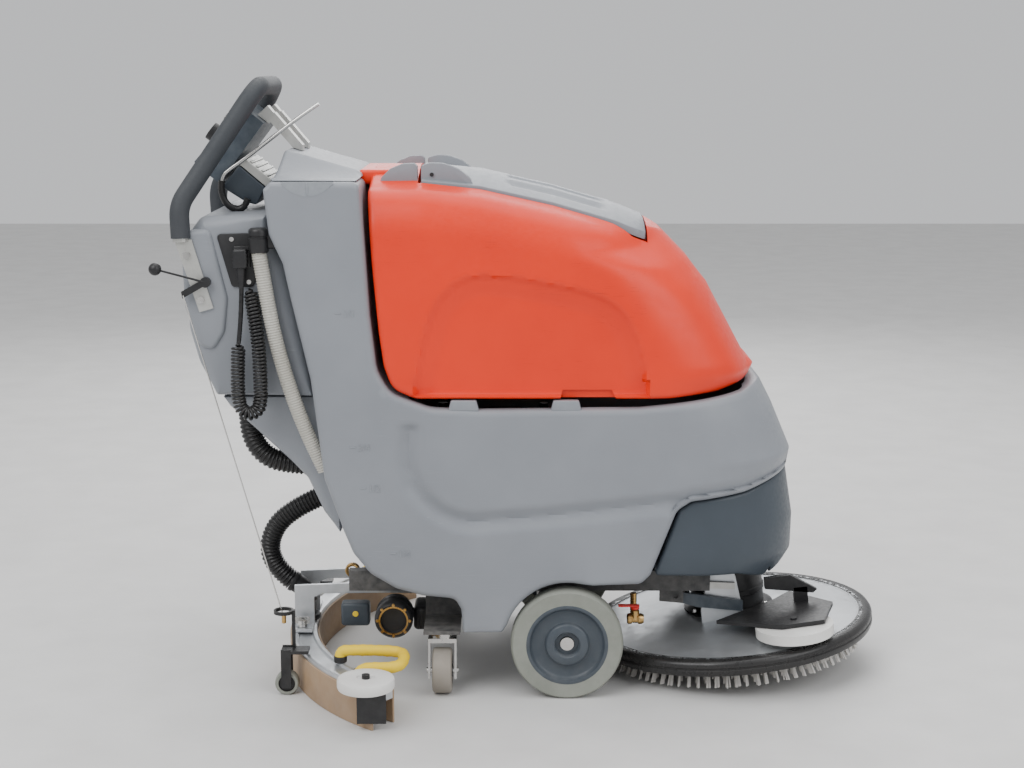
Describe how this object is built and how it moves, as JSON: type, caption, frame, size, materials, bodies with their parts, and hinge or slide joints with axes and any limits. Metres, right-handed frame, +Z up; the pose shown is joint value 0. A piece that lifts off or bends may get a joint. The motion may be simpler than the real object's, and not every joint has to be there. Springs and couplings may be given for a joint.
{
  "type": "walk-behind scrubber drier",
  "caption": "Walk-behind floor scrubber drier with a tilting recovery tank, a disc brush deck and a curved squeegee.",
  "frame": {"origin": "on the floor, under the middle of the machine's length and width", "axes": "+X forward, +Y the machine's left, +Z up"},
  "size_m": [1.306, 0.88, 1.093],
  "materials": {
    "frame_steel": "black powder coat",
    "body_grey": "rotomoulded polyethylene, fine pebble",
    "slate_plastic": "moulded, satin",
    "black_plastic": "moulded, satin",
    "cast_metal": "cast housing",
    "grip_rubber": "soft foam grip",
    "pale_metal": "light grey paint",
    "bright_steel": "zinc plated",
    "black_rubber": "ribbed hose rubber",
    "clear_hose": "translucent ribbed PVC",
    "grey_tyre": "non-marking rubber",
    "tank_red": "rotomoulded polyethylene, semi gloss",
    "white_plastic": "nylon",
    "cast_aluminium": "cast and polished",
    "tan_rubber": "gum rubber blade",
    "yellow_foam": "foam sleeve",
    "red_plastic": "moulded",
    "bristle_white": "nylon bristle"
  },
  "bodies": {
    "root": {"chassis_frame": "frame_steel", "solution_tank": "body_grey", "front_cover": "slate_plastic", "console_cover": "body_grey", "rear_housing": "body_grey", "vacuum_motor": "black_plastic", "batteries": "black_plastic", "transaxle": "cast_metal", "handle_grip": "grip_rubber", "handle_frame": "pale_metal", "control_box": "slate_plastic", "cable_hook": "bright_steel", "battery_connector": "slate_plastic", "connector_panel": "black_plastic", "fasteners": "bright_steel", "cord_plug": "black_plastic", "cord_lead": "black_rubber", "curly_cord": "black_rubber", "drain_hose": "clear_hose", "drain_cap": "black_plastic", "dump_hose": "black_rubber", "suction_hose": "black_rubber", "water_circuit": "black_plastic"},
    "wheel_right": {"wheel_rim_right": "slate_plastic", "wheel_tyre_right": "grey_tyre"},
    "wheel_left": {"wheel_rim_left": "slate_plastic", "wheel_tyre_left": "grey_tyre"},
    "caster_right": {"caster_fork_right": "bright_steel"},
    "caster_left": {"caster_fork_left": "bright_steel"},
    "caster_roll_right": {"caster_wheel_right": "grey_tyre"},
    "caster_roll_left": {"caster_wheel_left": "grey_tyre"},
    "recovery_tank": {"recovery_tank": "tank_red", "float_cage": "white_plastic"},
    "tank_lid": {"tank_lid": "body_grey"},
    "speed_knob": {"speed_knob": "black_plastic"},
    "key_switch": {"key_switch": "bright_steel"},
    "lift_lever": {"lift_lever": "black_plastic"},
    "lift_cable": {"lift_cable": "bright_steel"},
    "squeegee": {"squeegee_arm": "pale_metal", "squeegee_body": "cast_aluminium", "squeegee_blades": "tan_rubber", "squeegee_brackets": "black_plastic", "squeegee_grips": "yellow_foam", "suction_elbow": "black_plastic"},
    "squeegee_roller_right": {"squeegee_roller_right": "black_rubber"},
    "squeegee_roller_left": {"squeegee_roller_left": "black_rubber"},
    "guard_disc_right": {"guard_disc_right": "white_plastic"},
    "guard_disc_left": {"guard_disc_left": "white_plastic"},
    "wing_nut_right": {"wing_nut_right": "bright_steel"},
    "wing_nut_left": {"wing_nut_left": "bright_steel"},
    "filter_bowl": {"filter_bowl": "black_plastic"},
    "valve_lever": {"valve_lever": "red_plastic"},
    "deck_arm": {"deck_arm": "slate_plastic"},
    "deck_link": {"deck_link": "bright_steel"},
    "deck": {"deck_plate": "cast_aluminium", "deck_bumper": "black_rubber", "brush_motor": "black_plastic", "deck_guard": "black_plastic"},
    "brush": {"brush": "bristle_white"},
    "guard_roller": {"guard_roller": "white_plastic"}
  },
  "joints": [
    {"name": "wheel_right_spin", "type": "hinge", "parent": "root", "child": "wheel_right", "pos_m": [0.066, -0.2125, 0.1], "axis": [0, 1, 0], "continuous": true},
    {"name": "caster_right_swivel", "type": "hinge", "parent": "root", "child": "caster_right", "pos_m": [-0.157, -0.185, 0.106], "axis": [0, 0, 1], "continuous": true},
    {"name": "caster_right_roll", "type": "hinge", "parent": "caster_right", "child": "caster_roll_right", "pos_m": [-0.157, -0.205, 0.041], "axis": [1, 0, 0], "continuous": true},
    {"name": "squeegee_roller_right_spin", "type": "hinge", "parent": "squeegee", "child": "squeegee_roller_right", "pos_m": [-0.436, -0.213, 0.0215], "axis": [0, 1, 0], "continuous": true},
    {"name": "guard_disc_right_spin", "type": "hinge", "parent": "squeegee", "child": "guard_disc_right", "pos_m": [-0.27919, -0.391, 0.085], "axis": [0, 0, 1], "continuous": true},
    {"name": "wing_nut_right_turn", "type": "hinge", "parent": "squeegee", "child": "wing_nut_right", "pos_m": [-0.424, -0.074, 0.09], "axis": [0, 0, 1], "continuous": true},
    {"name": "wheel_left_spin", "type": "hinge", "parent": "root", "child": "wheel_left", "pos_m": [0.066, 0.2125, 0.1], "axis": [0, 1, 0], "continuous": true},
    {"name": "caster_left_swivel", "type": "hinge", "parent": "root", "child": "caster_left", "pos_m": [-0.157, 0.185, 0.106], "axis": [0, 0, 1], "continuous": true},
    {"name": "caster_left_roll", "type": "hinge", "parent": "caster_left", "child": "caster_roll_left", "pos_m": [-0.157, 0.205, 0.041], "axis": [1, 0, 0], "continuous": true},
    {"name": "squeegee_roller_left_spin", "type": "hinge", "parent": "squeegee", "child": "squeegee_roller_left", "pos_m": [-0.436, 0.213, 0.0215], "axis": [0, 1, 0], "continuous": true},
    {"name": "guard_disc_left_spin", "type": "hinge", "parent": "squeegee", "child": "guard_disc_left", "pos_m": [-0.27919, 0.391, 0.085], "axis": [0, 0, 1], "continuous": true},
    {"name": "wing_nut_left_turn", "type": "hinge", "parent": "squeegee", "child": "wing_nut_left", "pos_m": [-0.424, 0.074, 0.09], "axis": [0, 0, 1], "continuous": true},
    {"name": "tank_tilt", "type": "hinge", "parent": "root", "child": "recovery_tank", "pos_m": [0, 0.235, 0.541], "axis": [-1, 0, 0], "range_deg": [0, 75]},
    {"name": "lid_hinge", "type": "hinge", "parent": "recovery_tank", "child": "tank_lid", "pos_m": [-0.172, 0, 0.925], "axis": [0, -1, 0], "range_deg": [0, 95]},
    {"name": "speed_knob_turn", "type": "hinge", "parent": "root", "child": "speed_knob", "pos_m": [-0.5566, -0.062, 0.98969], "axis": [-0.7912, 0, 0.6115], "range_deg": [0, 270]},
    {"name": "key_turn", "type": "hinge", "parent": "root", "child": "key_switch", "pos_m": [-0.53336, -0.06, 1.01976], "axis": [-0.7912, 0, 0.6115], "range_deg": [0, 60]},
    {"name": "lever_pull", "type": "hinge", "parent": "root", "child": "lift_lever", "pos_m": [-0.56, -0.22, 0.745], "axis": [0, 1, 0], "range_deg": [0, 63]},
    {"name": "cable_swing", "type": "hinge", "parent": "lift_lever", "child": "lift_cable", "pos_m": [-0.596, -0.22, 0.723], "axis": [0, 1, 0], "range_deg": [-63.5, 0.5]},
    {"name": "squeegee_lift", "type": "hinge", "parent": "root", "child": "squeegee", "pos_m": [-0.15, 0, 0.15], "axis": [0, 1, 0], "range_deg": [0, 8.4], "deforming": ["suction_hose"]},
    {"name": "filter_bowl_turn", "type": "hinge", "parent": "root", "child": "filter_bowl", "pos_m": [-0.247, -0.144, 0.121], "axis": [0, -1, 0], "continuous": true},
    {"name": "valve_turn", "type": "hinge", "parent": "root", "child": "valve_lever", "pos_m": [0.19, -0.176, 0.15], "axis": [0, 0, 1], "range_deg": [0, 90]},
    {"name": "deck_lift", "type": "hinge", "parent": "root", "child": "deck_arm", "pos_m": [0.27, 0, 0.15], "axis": [0, -1, 0], "range_deg": [-12, 12]},
    {"name": "deck_link_swing", "type": "hinge", "parent": "root", "child": "deck_link", "pos_m": [0.262, 0, 0.17], "axis": [0, -1, 0], "range_deg": [-12.2, 12.2]},
    {"name": "deck_tilt", "type": "hinge", "parent": "deck_arm", "child": "deck", "pos_m": [0.385, 0, 0.128], "axis": [0, -1, 0], "range_deg": [-6.4, 6.4]},
    {"name": "brush_spin", "type": "hinge", "parent": "deck", "child": "brush", "pos_m": [0.38877, 0, 0.02352], "axis": [-0.1045, 0, 0.9945], "continuous": true},
    {"name": "guard_roller_spin", "type": "hinge", "parent": "deck", "child": "guard_roller", "pos_m": [0.47787, -0.185, 0.11332], "axis": [-0.1045, 0, 0.9945], "continuous": true}
  ],
  "couplings": [
    {"joint": "cable_swing", "follows": "lever_pull", "ratio": -1},
    {"joint": "squeegee_lift", "follows": "lever_pull", "ratio": 0.1317},
    {"joint": "deck_link_swing", "follows": "deck_lift", "ratio": 0.99},
    {"joint": "deck_tilt", "follows": "deck_lift", "ratio": -0.508}
  ]
}
